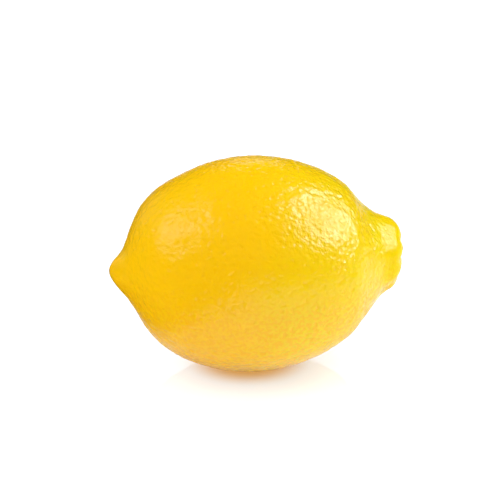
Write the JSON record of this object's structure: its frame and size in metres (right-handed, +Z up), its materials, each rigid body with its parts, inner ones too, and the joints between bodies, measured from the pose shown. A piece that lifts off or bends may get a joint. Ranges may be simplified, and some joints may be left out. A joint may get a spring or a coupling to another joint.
{
  "type": "lemon",
  "caption": "Whole ripe lemon lying on its side, with a pored rind, a furrowed collar at the stem, a pointed tip and a small woody stem button.",
  "frame": {"origin": "middle of the small flat spot that the fruit rests on", "axes": "+X along the fruit's axis to its stem end, +Z up, and +Y to the side, away from the picture's camera"},
  "size_m": [0.086, 0.0619, 0.0618],
  "materials": {
    "rind": "satin",
    "stem": "matte"
  },
  "bodies": {
    "root": {"fruit": "rind", "stem_button": "stem"}
  },
  "joints": []
}
